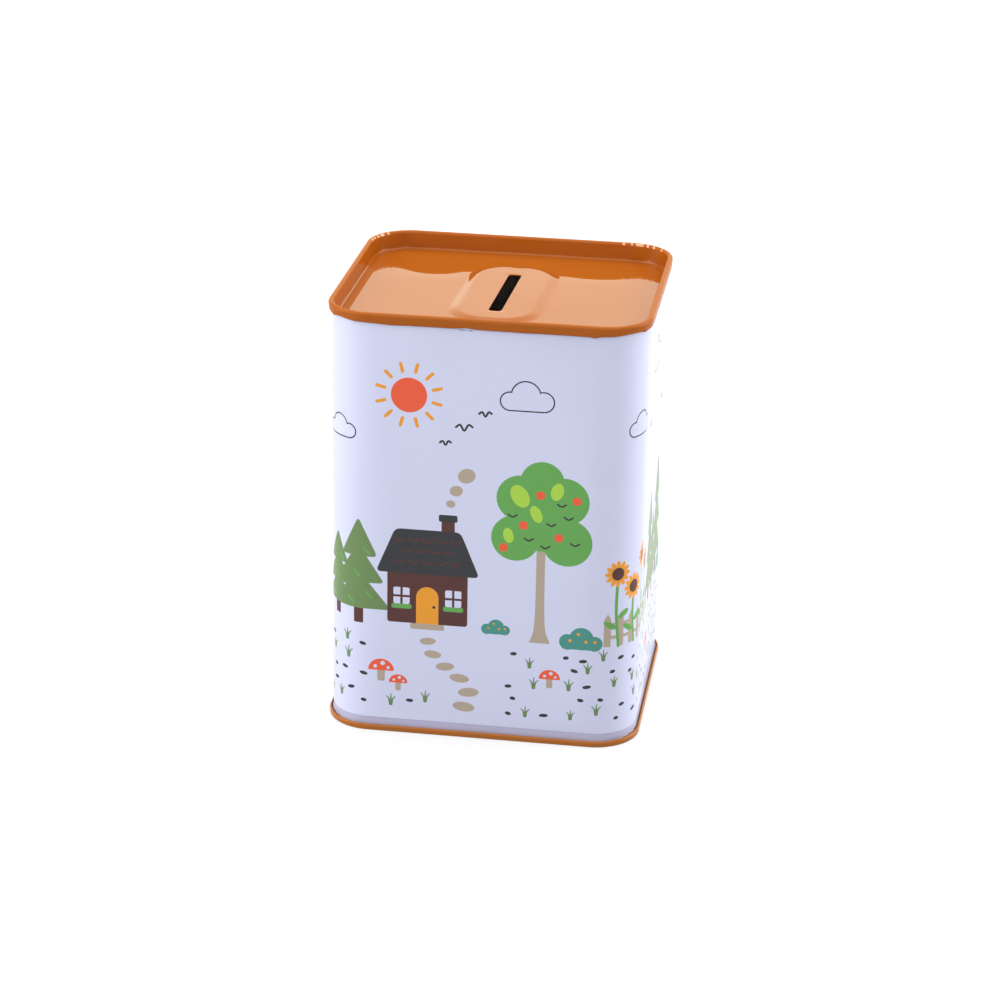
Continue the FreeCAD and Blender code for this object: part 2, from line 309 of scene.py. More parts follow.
def mushroom(s, z, size):
    """Toadstool with a spotted cap."""
    lay("stone", box(s, z, 0.9 * size, 3.4 * size, 0.5 * size))
    cap = [(s + 3.1 * size * math.cos(turn), z + (2.7 + 3.0 * math.sin(turn)) * size)
           for turn in np.radians(np.linspace(0, 180, 19))]
    lay("coral", soft(cap, 0.5 * size, 2))
    for across, up, half in ((-1.4, 3.7, 0.45), (0.4, 4.6, 0.55), (1.7, 3.5, 0.4)):
        lay("paper", disc(s + across * size, z + up * size, half * size))


def tuft(s, z, size):
    """Three blades of grass."""
    for lean in (-0.75, 0.05, 0.8):
        tip = (s + 1.25 * lean * size, z + (2.5 - 0.8 * abs(lean)) * size)
        blade = [(s + 0.2 * lean, z), (s + 0.5 * lean * size, z + 1.2 * size), tip]
        lay("pine", stroke(bent(blade, 3), 0.62, 0.22))


def sunflower(s, z, tall):
    """Sunflower on a leafy stem."""
    lay("leaf", stroke(bent([(s + 0.6, z), (s - 0.3, z + 0.5 * tall), (s, z + tall)], 5), 0.85))
    for side, up in ((-1, 0.3), (1, 0.44)):
        lay("leaf", disc(s + side * 1.9, z + up * tall, 1.9, 0.8, side * 32))
    for petal in range(12):
        turn = 30 * petal
        way = np.array((math.cos(math.radians(turn)), math.sin(math.radians(turn))))
        lay("amber", disc(*((s, z + tall) + 2.4 * way), 1.25, 0.62, turn))
    lay("brick", disc(s, z + tall, 1.75))


def fence(first, last, z):
    """Pale picket fence with two rails."""
    for rail in (2.2, 5.8):
        lay("stone", box((first + last) / 2, z + rail, (last - first) / 2, 0.9, 0.3))
    pickets = round((last - first) / 3.6)
    for picket in range(pickets + 1):
        middle = first + (last - first) * picket / pickets
        left, right, shoulder = middle - 0.95, middle + 0.95, z + 7.6
        outline = [(left, z), (right, z), (right, shoulder), (middle, z + 9.2), (left, shoulder)]
        lay("stone", soft(outline, 0.3, 3))


def windmill(s, z):
    """Tower mill with four latticed sails."""
    lay("brick", soft([(s - 7.2, z), (s + 7.2, z), (s + 4.4, z + 25), (s - 4.4, z + 25)], 0.8))
    lay("soot", [(s + 5.2 * math.cos(turn), z + 24.6 + 5.0 * math.sin(turn))
                 for turn in np.radians(np.linspace(0, 180, 21))])
    lay("amber", box(s, z, 2.1, 6.4, 1.6))
    lay("paper", box(s, z + 13, 1.3, 3.4, 0.5))
    for sail in range(4):
        turn = math.radians(90 * sail + 32)
        way, side = np.array((math.cos(turn), math.sin(turn))), np.array((-math.sin(turn), math.cos(turn)))
        hub = np.array((s, z + 25.6))
        root, tip = hub + 4 * way, hub + 16 * way
        lay("stone", soft([root, tip, tip + 3.4 * side, root + 3.4 * side], 0.3, 3))
        for slat in range(5):
            foot = hub + (5.6 + 2.2 * slat) * way
            lay("soot", stroke([foot, foot + 3.2 * side], 0.35))
        lay("soot", stroke([hub, hub + 16.4 * way], 0.75))
    lay("coral", disc(s, z + 25.6, 1.3))


def hill(s, z, half_wide, tall):
    """Grassy hill with a few tufts."""
    turns = np.radians(np.linspace(0, 180, 31))
    mound = [(s + half_wide * math.cos(turn), z + tall * math.sin(turn)) for turn in turns]
    lay("leaf", soft(mound, 0.8, 2))
    for across, up in ((-0.45, 0.35), (0.05, 0.55), (0.4, 0.25), (-0.1, 0.18)):
        foot_s, foot_z = s + across * half_wide, z + up * tall
        lay("lime", stroke([(foot_s, foot_z), (foot_s + 0.5, foot_z + 1.7)], 0.7))


conifer(-38.5, 31, 23)
conifer(-31.5, 30, 29)
cottage(-13.5, 31)
stones = ((-13.3, 26.2), (-12.0, 22.6), (-8.8, 19.4), (-5.0, 16.4), (-2.6, 12.6), (-3.8, 8.4))
for step, (across, up) in enumerate(stones):
    lay("stone", disc(across, up, 2.1 + 0.16 * step, 1.0 + 0.07 * step, 5 * (-1) ** step))
round_tree(15.5, 28)
bush(26.2, 27, 1.05)
bush(4.2, 29.6, 0.7)
sun(-18.5, 93, 4.6)
cloud(11.5, 90.5, 1.0)
cloud(-37, 80, 0.75)
for across, up, span in ((-4.5, 84.5, 4.2), (0.8, 88.6, 3.2), (-9.2, 80.4, 2.8)):
    bird(across, up, span)
mushroom(-25.5, 14, 1.1)
mushroom(-21, 11.6, 0.8)
mushroom(18.4, 15.6, 0.9)

fence(33, 62, 28)
for across, up, tall in ((35.5, 28, 20), (41, 28, 15.5), (47, 28, 22), (55, 28, 17)):
    sunflower(across, up, tall)
cloud(43, 84, 0.8)
conifer(68.5, 28, 31)
conifer(77, 27, 24)
conifer(86, 28, 35)
bush(95, 27, 1.1)
cloud(72, 92, 1.05)
bird(60, 80, 4)
bird(88, 78, 3.2)
mushroom(66, 14, 1.0)

windmill(-70, 29)
bush(-56.5, 28, 1.0)
conifer(-85.5, 28, 25)
conifer(-93, 28, 33)
cloud(-56, 94, 0.85)
cloud(-88, 86, 1.0)
mushroom(-80, 15, 0.95)

hill(123, 27, 13, 9)
round_tree(124, 33)
sunflower(107, 28, 17)
cloud(122, 93, 1.0)
hill(-122, 27, 14, 8)
conifer(-116, 32, 25)
conifer(-127, 31, 32)
cloud(-124, 90, 0.9)
bush(-105, 28, 1.0)

# Painted shade on the wall under the rim, where its lower edge lifts.
for across, up, half in ((-5.2, 110.85, 1.0), (-3.2, 110.8, 0.7)):
    lay("edge_and_shade", disc(across, up, half, 0.14, -3))
# The seam's closing line in grey: partly its bare edge, partly painted shade.
seam_line = (girth / 2 - seam_half + seam_line_half) / mm
lay("edge_and_shade", box(seam_line, seam_foot / mm, 0.13, (seam_head - seam_foot) / mm, 0.05))

ground_draws = random.Random(11)
seam_margin = 6
for row in range(5):
    across = -girth / mm / 2 + seam_margin + 2 * row
    while across < girth / mm / 2 - seam_margin:
        s = across + ground_draws.uniform(-1.2, 1.2)
        z = 8 + 4.1 * row + ground_draws.uniform(-1.1, 1.1)
        on_path = abs(s + 4.5) < 7.5 + 0.2 * z
        by_mushroom = min(abs(s - place) for place in (-25.5, -21, 18.4, 66, -80)) < 4 and z > 9
        if not on_path and not by_mushroom:
            if ground_draws.random() < 0.4:
                tuft(s, z, ground_draws.uniform(1.0, 1.35))
            else:
                lay("soot", disc(s, z, ground_draws.uniform(0.7, 1.2), 0.5, ground_draws.uniform(-15, 15)))
        across += ground_draws.uniform(4.2, 6.6)


def colour(red, green, blue):
    """Linear colour of an ink or lacquer from its screen values."""
    shares = [value / 255 for value in (red, green, blue)]
    return (*[s / 12.92 if s <= 0.04045 else ((s + 0.055) / 1.055) ** 2.4 for s in shares], 1.0)


def feed(tree, socket, value):
    """Give an input socket a value, or a link from another socket."""
    if isinstance(value, bpy.types.NodeSocket):
        tree.links.new(value, socket)
    else:
        socket.default_value = value


def add(tree, kind, settings=None, **inputs):
    """New node of a tree, with its settings and its inputs, which are values or linked sockets."""
    node = tree.nodes.new("ShaderNode" + kind)
    for name, value in (settings or {}).items():
        setattr(node, name, value)
    for name, value in inputs.items():
        feed(tree, node.inputs[name.replace("_", " ")], value)
    return node


def maths(tree, operation, *values):
    """Result of a sum on values or sockets."""
    node = add(tree, "Math", {"operation": operation})
    for socket, value in zip(node.inputs, values):
        feed(tree, socket, value)
    return node.outputs[0]


def blend_colours(tree, how, share, first, second):
    """Colour of two mixed by a share, as values or sockets."""
    node = tree.nodes.new("ShaderNodeMix")
    node.data_type = "RGBA"
    node.blend_type = how
    for place, value in ((0, share), (6, first), (7, second)):
        feed(tree, node.inputs[place], value)
    return node.outputs[2]


def start_group(name, inputs, outputs):
    """Empty shader group with named sockets, its input node and its output node."""
    group = bpy.data.node_groups.new(name, "ShaderNodeTree")
    for way, sockets in (("INPUT", inputs), ("OUTPUT", outputs)):
        for label, kind in sockets:
            group.interface.new_socket(label, in_out=way, socket_type="NodeSocket" + kind)
    return group, group.nodes.new("NodeGroupInput"), group.nodes.new("NodeGroupOutput")


def place_group(tree, group, **inputs):
    """Shared effect placed in a material with its own values."""
    return add(tree, "Group", {"node_tree": group}, **inputs)


def start_finish(name):
    """New material, with its node tree and its surface shader."""
    finish = bpy.data.materials.new(name)
    finish.use_nodes = True
    return finish, finish.node_tree, finish.node_tree.nodes["Principled BSDF"]


# Varnish over lacquer or ink: slow drifts of tone, a faint flow texture and small changes of gloss.
film, film_in, film_out = start_group(
    "varnish_film",
    (("Colour", "Color"), ("Drift", "Float"), ("Gloss Low", "Float"), ("Gloss High", "Float")),
    (("Colour", "Color"), ("Roughness", "Float"), ("Height", "Float")),
)
film_place = add(film, "TexCoord").outputs["Object"]
film_drift = add(film, "TexNoise", Vector=film_place, Scale=55.0, Detail=3.0, Roughness=0.55).outputs["Fac"]
film_share = maths(film, "MULTIPLY", film_drift, film_in.outputs["Drift"])
film_shade = (0.55, 0.55, 0.6, 1)
film_tone = blend_colours(film, "MULTIPLY", film_share, film_in.outputs["Colour"], film_shade)
film.links.new(film_tone, film_out.inputs["Colour"])
film_flow = add(film, "TexNoise", Vector=film_place, Scale=420.0, Detail=2.0, Roughness=0.5).outputs["Fac"]
film_gloss = add(film, "MapRange", Value=film_flow, From_Min=0.3, From_Max=0.7)
film.links.new(film_in.outputs["Gloss Low"], film_gloss.inputs["To Min"])
film.links.new(film_in.outputs["Gloss High"], film_gloss.inputs["To Max"])
film.links.new(film_gloss.outputs["Result"], film_out.inputs["Roughness"])
film_wave = add(film, "TexNoise", Vector=film_place, Scale=70.0, Detail=1.0, Roughness=0.4).outputs["Fac"]
film_flow_share = 0.05
film_height = maths(film, "MULTIPLY_ADD", film_flow, film_flow_share, film_wave)
film.links.new(film_height, film_out.inputs["Height"])


def printed(name, tone, drift, foot_shade_tone=None):
    """Opaque ink under clear varnish, with a painted shade that darkens it down towards the base seam if a
    foot shade tone is given.
    """
    finish, tree, surface = start_finish(name)
    # Painted shade: the tone darkens to the foot tone down the flare, from its top to the base seam's lip.
    if foot_shade_tone:
        level = add(tree, "SeparateXYZ", Vector=add(tree, "TexCoord").outputs["Object"]).outputs["Z"]
        above = add(tree, "MapRange", Value=level, From_Min=seam_lip, From_Max=flare_top).outputs["Result"]
        tone = blend_colours(tree, "MIX", above, foot_shade_tone, tone)
    skin = place_group(tree, film, Colour=tone, Drift=drift, Gloss_Low=0.40, Gloss_High=0.52)
    tree.links.new(skin.outputs["Colour"], surface.inputs["Base Color"])
    tree.links.new(skin.outputs["Roughness"], surface.inputs["Roughness"])
    bump = add(tree, "Bump", Strength=0.25, Distance=0.05 * mm, Height=skin.outputs["Height"])
    tree.links.new(bump.outputs["Normal"], surface.inputs["Normal"])
    surface.inputs["Specular IOR Level"].default_value = 0.1
    surface.inputs["Coat Weight"].default_value = 0.4
    surface.inputs["Coat Roughness"].default_value = 0.11
    return finish


inks = {
    "paper": printed("white_print", colour(204, 207, 233), 0.05),
    "leaf": printed("leaf_green_ink", colour(97, 160, 81), 0.10),
    "brick": printed("brick_maroon_ink", colour(80, 45, 43), 0.14),
    "soot": printed("soot_black_ink", colour(48, 49, 53), 0.14),
    "pine": printed("pine_olive_ink", colour(102, 130, 81), 0.10),
    "bush": printed("bush_teal_ink", colour(70, 140, 130), 0.10),
    "coral": printed("sun_coral_ink", colour(226, 90, 58), 0.08),
    "stone": printed("stone_ink", colour(172, 158, 142), 0.08),
    "lime": printed("lime_ink", colour(163, 204, 72), 0.08),
    "amber": printed("amber_ink", colour(226, 150, 44), 0.08),
    # Grey lines: painted shade under the rim, and the seam's closing line, partly its bare edge and partly
    # painted shade.
    "edge_and_shade": printed("seam_edge_and_painted_shade_ink", colour(142, 142, 160), 0.25),
    # Painted shade on the flare above the base seam, darkest at the seam.
    "rolled": printed("flare_painted_shade_print", colour(184, 183, 212), 0.25, colour(138, 129, 144)),
    # Painted shade in the gap of the base seam.
    "gap": printed("seam_gap_painted_shade", colour(84, 60, 56), 0.2),
}

# Bare tinplate inside: pale grey metal with rolling streaks up the sheet and a faint crystal pattern.
tin, tin_tree, tin_surface = start_finish("bare_tinplate")
tin_place = add(tin_tree, "TexCoord").outputs["Object"]
tin_stretch = add(tin_tree, "Mapping", Vector=tin_place, Scale=(900.0, 900.0, 25.0)).outputs["Vector"]
tin_streaks = add(
    tin_tree, "TexNoise", Vector=tin_stretch, Scale=1.0, Detail=3.0, Roughness=0.6
).outputs["Fac"]
tin_crystals = add(tin_tree, "TexVoronoi", Vector=tin_place, Scale=260.0).outputs["Color"]
tin_mottle = blend_colours(tin_tree, "MIX", 0.14, tin_streaks, tin_crystals)
tin_tone = add(tin_tree, "ValToRGB", Fac=tin_mottle)
tin_tone.color_ramp.elements[0].position = 0.30
tin_tone.color_ramp.elements[0].color = (0.62, 0.63, 0.65, 1)
tin_tone.color_ramp.elements[1].position = 0.70
tin_tone.color_ramp.elements[1].color = (0.80, 0.81, 0.83, 1)
tin_tree.links.new(tin_tone.outputs["Color"], tin_surface.inputs["Base Color"])
tin_gloss = add(
    tin_tree, "MapRange", Value=tin_streaks, From_Min=0.3, From_Max=0.7, To_Min=0.30, To_Max=0.44
)
tin_tree.links.new(tin_gloss.outputs["Result"], tin_surface.inputs["Roughness"])
tin_surface.inputs["Metallic"].default_value = 1.0

# The sheet: the printed face is divided along every outline of the print, and the flare, inner face and
# hem follow one section swept round the same columns.
back_distances = (2 * seam_half, seam_half + 0.1 * mm, seam_half, seam_half - seam_line_half,
                  seam_half - 2 * seam_line_half, 1.0 * mm)
columns = sorted(
    [along - girth if along > girth / 2 else along for along in places_along(corner_steps, girth)]
    + [side * (girth / 2 - back) for side in (-1, 1) for back in back_distances]
    + [-girth / 2, -girth / 4, girth / 4, girth / 2]
)

flat_points, flat_edges = [], []


def add_line(points, closed):
    """Line that the printed face is divided along, in millimetres."""
    first = len(flat_points)
    flat_points.extend(Vector(point) for point in points)
    last = len(flat_points) - 1
    flat_edges.extend((index, index + 1) for index in range(first, last))
    if closed:
        flat_edges.append((last, first))


foot_mm, head_mm = neck_top / mm, hem_fold / mm
add_line([(along / mm, foot_mm) for along in columns], False)
add_line([(along / mm, head_mm) for along in columns], False)
seam_levels = [level / mm for level in (seam_foot, seam_foot + seam_end, seam_head - seam_end, seam_head)]
for along in columns:
    near_seam = abs(abs(along) - girth / 2 + seam_half) < 3 * seam_line_half
    stops = seam_levels if near_seam else []
    add_line([(along / mm, level) for level in (foot_mm, *stops, head_mm)], False)
for ink, outline in print_shapes:
    add_line(outline, True)
flat, _, triangles, _, _, _ = delaunay_2d_cdt(flat_points, flat_edges, [], 0, 1e-4)
flat = np.array([tuple(point) for point in flat])
triangles = np.array(triangles)
centres = flat[triangles].mean(axis=1)

ink_names = list(inks)
ink_of_triangle = np.zeros(len(triangles), int)
for ink, outline in print_shapes:
    outline = np.array(outline)
    low, high = outline.min(axis=0), outline.max(axis=0)
    near = np.nonzero(((centres >= low) & (centres <= high)).all(axis=1))[0]
    s, z = centres[near].T
    inside = np.zeros(len(near), bool)
    for (s0, z0), (s1, z1) in zip(outline, np.roll(outline, -1, axis=0)):
        if z0 != z1:
            inside ^= ((z0 > z) != (z1 > z)) & (s < (s1 - s0) * (z - z0) / (z1 - z0) + s0)
    ink_of_triangle[near[inside]] = ink_names.index(ink)


def seam_line_sink(along, level):
    """Depth of the closing line of the lock seam in the printed face."""
    across = 1 - abs(along - girth / 2 + seam_half - seam_line_half) / seam_line_half
    ends = min(level - seam_foot, seam_head - level) / seam_end
    return seam_line_depth * max(0.0, min(1.0, across)) * max(0.0, min(1.0, ends))


printed_points = []
for along, level in flat * mm:
    printed_points.append(wall_ring(-seam_line_sink(along, level), level, [along])[0])

fold_middle = (hem_gap / 2, hem_fold)
flare_middle = (flare_radius, flare_top)
seam_edge = 0.15 * mm


def necked(points):
    """Section points drawn in a little just above the flare, where the sheet was rolled over."""
    drawn = []
    for out, level in points:
        above = (level - flare_top) / (neck_top - flare_top)
        below = (flare_top - level) / (flare_top - shell_low.z)
        share = max(0.0, 1 - (above if above > 0 else below))
        drawn.append((out - neck_depth * share**2 * (3 - 2 * share), level))
    return drawn


outer_foot_rows = (
    straight((0, neck_top), (0, flare_top), 8)[:-1]
    + arc(flare_middle, flare_radius, 180, 180 + flare_angle, 10)
)
inner_foot_rows = (
    arc(flare_middle, flare_radius + plate, 180 + flare_angle, 180, 10)
    + straight((-plate, flare_top), (-plate, neck_top), 6)[1:]
)
flare_rows = len(outer_foot_rows) - 1
section = (
    necked(outer_foot_rows + inner_foot_rows)
    + [(-plate, level) for level in (seam_foot, seam_foot + seam_edge, seam_head - seam_edge, seam_head)]
    + arc(fold_middle, hem_gap / 2 + plate, 180, 0, 12)
    + [(hem_gap + plate, hem_end), (hem_gap, hem_end)]
    + arc(fold_middle, hem_gap / 2, 0, 180, 6)
)
swept_points = []
for out, level in section:
    row = wall_ring(out, level, columns)
    if out == -plate and seam_foot < level < seam_head:
        layered = np.abs(np.abs(columns) - girth / 2) < seam_half + seam_edge / 4
        row[layered, 1] -= seam_thickness
    swept_points.extend(row)

# The sheet laid out flat on its map, which keeps the print large: the printed face and the flare in halves,
# front and back, and the inner face and hem in one low strip. Strips are (low, high) shares of the map.
map_strips = {
    "print": ((0.142, 0.567), (0.573, 0.998)),
    "flare": ((0.102, 0.114), (0.122, 0.134)),
    "inside": (0.004, 0.094),
}
map_half = 0.496


def on_half(along, back, share, strip):
    """Map place of a point along the front or back half of the wall, at a share of the strip's height."""
    if back:
        along += -girth / 2 if along > 0 else girth / 2
    return 0.5 + map_half * along / (girth / 4), strip[back][0] + (strip[back][1] - strip[back][0]) * share


def on_whole(along, share, strip):
    """Map place of a point along the whole wall, at a share of the strip's height."""
    return 0.5 + map_half * along / (girth / 2), strip[0] + (strip[1] - strip[0]) * share


shell_points = printed_points + swept_points
shell_faces = [tuple(int(index) for index in triangle) for triangle in triangles]
shell_finish = list(ink_of_triangle)
shell_on_wall = [abs(s * mm - girth / 2 + seam_half - seam_line_half) > seam_line_half for s, _ in centres]
shell_map = []
for triangle, (s, _) in zip(triangles, centres):
    for along, level in flat[triangle] * mm:
        share = (level - neck_top) / (hem_fold - neck_top)
        shell_map.append(on_half(along, abs(s * mm) > girth / 4, share, map_strips["print"]))

# Along the sides the base seam stands off the flare a little, and the shade in its gap is painted on the
# flare as a dark line from the middle of each front corner to the middle of the back one, tapered off at
# both ends.
gap_start, gap_end, gap_taper = 38 * mm, 106 * mm, 6 * mm
gap_height = 0.42 * mm
run_down = np.cumsum([0, *np.linalg.norm(np.diff(section, axis=0), axis=1)])
flare_run, whole_run = run_down[flare_rows], run_down[-1]
for row in range(len(section) - 1):
    for column in range(len(columns) - 1):
        corner = len(printed_points) + row * len(columns) + column
        shell_faces.append((corner, corner + 1, corner + len(columns) + 1, corner + len(columns)))
        back = abs(columns[column] + columns[column + 1]) > girth / 2
        for down, across in ((row, column), (row, column + 1), (row + 1, column + 1), (row + 1, column)):
            if row < flare_rows:
                place = on_half(columns[across], back, run_down[down] / flare_run, map_strips["flare"])
            else:
                share = (run_down[down] - flare_run) / (whole_run - flare_run)
                place = on_whole(columns[across], share, map_strips["inside"])
            shell_map.append(place)
        # Flare rows are painted with shade: the dark gap line along the sides, the darker flare tone
        # elsewhere.
        from_end = min(abs(columns[column]) - gap_start, gap_end - abs(columns[column]))
        in_gap_shade = section[row][1] - seam_lip < gap_height * min(1.0, from_end / gap_taper)
        flare_shade_ink = ink_names.index("gap" if in_gap_shade else "rolled")
        shell_finish.append(flare_shade_ink if row < flare_rows else len(inks))
        shell_on_wall.append(False)

crease = math.radians(38)
weld = 2e-6


def make_piece(name, points, faces, finishes, finish_of_face, on_wall=None, corner_map=None):
    """Closed skin as a smooth-shaded object, its faces turned outwards and each in one of the finishes."""
    mesh = bpy.data.meshes.new(name)
    mesh.from_pydata([tuple(point) for point in points], [], faces)
    for finish in finishes:
        mesh.materials.append(finish)
    mesh.polygons.foreach_set("material_index", finish_of_face)
    if on_wall:
        mesh.attributes.new("on_wall", "BOOLEAN", "FACE").data.foreach_set("value", on_wall)
    if corner_map:
        mesh.uv_layers.new(name="OFBake").uv.foreach_set("vector", np.ravel(corner_map))
    work = bmesh.new()
    work.from_mesh(mesh)
    bmesh.ops.remove_doubles(work, verts=work.verts, dist=weld)
    bmesh.ops.recalc_face_normals(work, faces=work.faces)
    work.to_mesh(mesh)
    work.free()
    mesh.polygons.foreach_set("use_smooth", [True] * len(mesh.polygons))
    mesh.set_sharp_from_angle(angle=crease)
    piece = bpy.data.objects.new(name, mesh)
    bpy.context.scene.collection.objects.link(piece)
    return piece


body_shell = make_piece(
    "printed_body", shell_points, shell_faces, [*inks.values(), tin], shell_finish, shell_on_wall, shell_map
)

# Shading of the printed face: smooth outward directions, so that the print's own division never shows. The
# shading turns softly into the corners a little before they start, as if the sheet bowed there.
bow = 7 * mm


def past_flat(place, flat):
    """Distance past the end of a flat of the wall, eased in by the bow."""
    excess = abs(place) - flat
    eased = (max(0.0, excess + bow)) ** 2 / (4 * bow) if excess < bow else excess
    return math.copysign(eased, place)


mesh = body_shell.data
normals = np.array([corner.vector for corner in mesh.corner_normals])
on_wall = np.zeros(len(mesh.polygons), bool)
mesh.attributes["on_wall"].data.foreach_get("value", on_wall)
for polygon in mesh.polygons:
    if on_wall[polygon.index]:
        for loop in polygon.loop_indices:
            place = mesh.vertices[mesh.loops[loop].vertex_index].co
            normals[loop] = Vector((past_flat(place.x, flat_x), past_flat(place.y, flat_y), 0)).normalized()
mesh.normals_split_custom_set(normals.tolist())
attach(body_shell, "box")
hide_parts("body_shell")


# Base plate: a panel of orange lacquered tinplate, sunk inside the wall and pressed with a shallow step,
# whose edge turns down, out along the floor and up round the flared wall in a rolled seam.
base_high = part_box("base_plate")[1]
layer_gap = 0.05 * mm
seat_bend = 0.2 * mm
panel_bend = 0.5 * mm
base_rise = 2.6 * mm
base_step_inset = 9 * mm
base_step_corner = 6 * mm
base_step_slope = 1.5 * mm
base_step_height = 0.6 * mm
base_core_half = (6 * mm, 4 * mm)
base_core_corner = 2 * mm
base_corner_steps = 28
base_longest_face = 6 * mm

base_out = base_high.x - half_width
base_wall_out = -plate - layer_gap
base_wall_in = base_wall_out - plate
lip_drop = flare_top - seam_lip + plate
lip_tip = flare_radius - math.sqrt(flare_radius**2 - lip_drop**2) + layer_gap
curl = base_out - lip_tip
curl_middle = (lip_tip, seam_lip - curl)
seat_round = seat_bend + plate
inner_foot = (base_wall_in + seat_round, seat_round)
outer_foot = (base_out - seat_round, seat_round)
base_panel_edge = base_wall_in - panel_bend
upper_bend = (base_panel_edge, base_rise - panel_bend - plate)

base_alongs = places_along(base_corner_steps, base_longest_face)


def step_rings(top, half_x, half_y, corner, slope, rise, crisp, alongs, rows):
    """Rings up the side of a pressed step, eased at its crown and, the less crisp it is, at its foot."""
    rings = []
    for row in range(rows + 1):
        share = row / rows
        inset = slope * share
        lift = rise * (crisp * (2 * share - share**2) + (1 - crisp) * (3 * share**2 - 2 * share**3))
        rings.append(round_ring(half_x - inset, half_y - inset, corner - inset, top + lift, alongs))
    return rings


def rings_between(first, last, steps):
    """Rings that lead evenly from one ring to another, without the two ends."""
    return [first + (last - first) * step / steps for step in range(1, steps)]


def base_panel_rings(level):
    """Rings of one face of the base's panel, from its edge to the middle of the step."""
    edge = wall_ring(base_panel_edge, level, base_alongs)
    step_half = (half_width - base_step_inset, half_depth - base_step_inset)
    step = step_rings(
        level, *step_half, base_step_corner, base_step_slope, base_step_height, 0, base_alongs, 8
    )
    core = round_ring(*base_core_half, base_core_corner, level + base_step_height, base_alongs)
    return [edge, *rings_between(edge, step[0], 3), *step, *rings_between(step[-1], core, 4), core]


base_edge_section = (
    arc(upper_bend, panel_bend + plate, 90, 0, 8)
    + arc(inner_foot, seat_bend, 180, 270, 5)
    + arc(outer_foot, seat_bend, 270, 360, 5)
    + arc(curl_middle, curl - plate, 0, 90, 9)
    + arc(curl_middle, curl, 90, 0, 12)
    + arc(outer_foot, seat_round, 360, 270, 7)
    + arc(inner_foot, seat_round, 270, 180, 7)
    + arc(upper_bend, panel_bend, 0, 90, 6)
)
base_rings = (
    base_panel_rings(base_rise)[::-1]
    + [wall_ring(out, level, base_alongs) for out, level in base_edge_section[1:-1]]
    + base_panel_rings(base_rise - plate)
)


def ring_faces(rings, closed):
    """Quads between rings, closed into a loop of rings or with a lid over the first and the last."""
    count, around = len(rings), len(rings[0])
    faces = []
    for row in range(count if closed else count - 1):
        upper, lower = row * around, (row + 1) % count * around
        for place in range(around):
            after = (place + 1) % around
            faces.append((upper + place, upper + after, lower + after, lower + place))
    if not closed:
        faces.append(tuple(range(around)))
        faces.append(tuple((count - 1) * around + place for place in range(around)))
    return faces


# Wear of lacquer: where the wear value of a piece is high, the film is broken and pale tin shows through.
wear, wear_in, wear_out = start_group(
    "lacquer_wear",
    (("Colour", "Color"), ("Roughness", "Float"), ("Bare", "Color")),
    (("Colour", "Color"), ("Roughness", "Float"), ("Metallic", "Float")),
)
wear_place = add(wear, "TexCoord").outputs["Object"]
wear_value = add(wear, "Attribute", {"attribute_name": "wear"}).outputs["Fac"]
wear_break = add(
    wear, "TexNoise", Vector=wear_place, Scale=1500.0, Detail=3.0, Roughness=0.6
).outputs["Fac"]
wear_sum = maths(wear, "ADD", wear_value, wear_break)
wear_mask = add(wear, "MapRange", Value=wear_sum, From_Min=1.02, From_Max=1.12).outputs["Result"]
wear_colour = blend_colours(wear, "MIX", wear_mask, wear_in.outputs["Colour"], wear_in.outputs["Bare"])
wear.links.new(wear_colour, wear_out.inputs["Colour"])
wear_gloss = add(wear, "MapRange", Value=wear_mask, To_Max=0.32)
wear.links.new(wear_in.outputs["Roughness"], wear_gloss.inputs["To Min"])
wear.links.new(wear_gloss.outputs["Result"], wear_out.inputs["Roughness"])
wear_metal = add(wear, "MapRange", Value=wear_mask, To_Max=0.25)
wear.links.new(wear_metal.outputs["Result"], wear_out.inputs["Metallic"])


bare_tin = colour(212, 162, 126)


def lacquered(name, tone, smooth, varnish=1.0):
    """Orange lacquer rolled on tinplate under a share of varnish, broken where the piece is worn."""
    finish, tree, surface = start_finish(name)
    skin = place_group(tree, film, Colour=tone, Drift=0.16, Gloss_Low=smooth, Gloss_High=smooth + 0.05)
    worn = place_group(
        tree, wear, Colour=skin.outputs["Colour"], Roughness=skin.outputs["Roughness"], Bare=bare_tin
    )
    tree.links.new(worn.outputs["Colour"], surface.inputs["Base Color"])
    tree.links.new(worn.outputs["Roughness"], surface.inputs["Roughness"])
    tree.links.new(worn.outputs["Metallic"], surface.inputs["Metallic"])
    bump = add(tree, "Bump", Strength=0.18, Distance=0.03 * mm, Height=skin.outputs["Height"])
    tree.links.new(bump.outputs["Normal"], surface.inputs["Normal"])
    surface.inputs["Coat Weight"].default_value = varnish
    surface.inputs["Coat Roughness"].default_value = 0.03
    surface.inputs["Coat IOR"].default_value = 1.36
    surface.inputs["Specular IOR Level"].default_value = 0.0
    return finish


base_orange = colour(166, 94, 17)
base_lacquer = lacquered("base_orange_lacquer", base_orange, 0.16)
base_points = np.concatenate(base_rings)
base_faces = ring_faces(base_rings, False)
base_plate = make_piece("rolled_base", base_points, base_faces, [base_lacquer], [0] * len(base_faces))


def even_shading(piece):
    """Shade flats as flat and bends as round, whatever the size of their faces."""
    shading = piece.modifiers.new("even_shading", "WEIGHTED_NORMAL")
    shading.mode = "FACE_AREA"
    shading.weight = 50
    shading.keep_sharp = True


even_shading(base_plate)
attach(base_plate, "box")
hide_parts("base_plate")


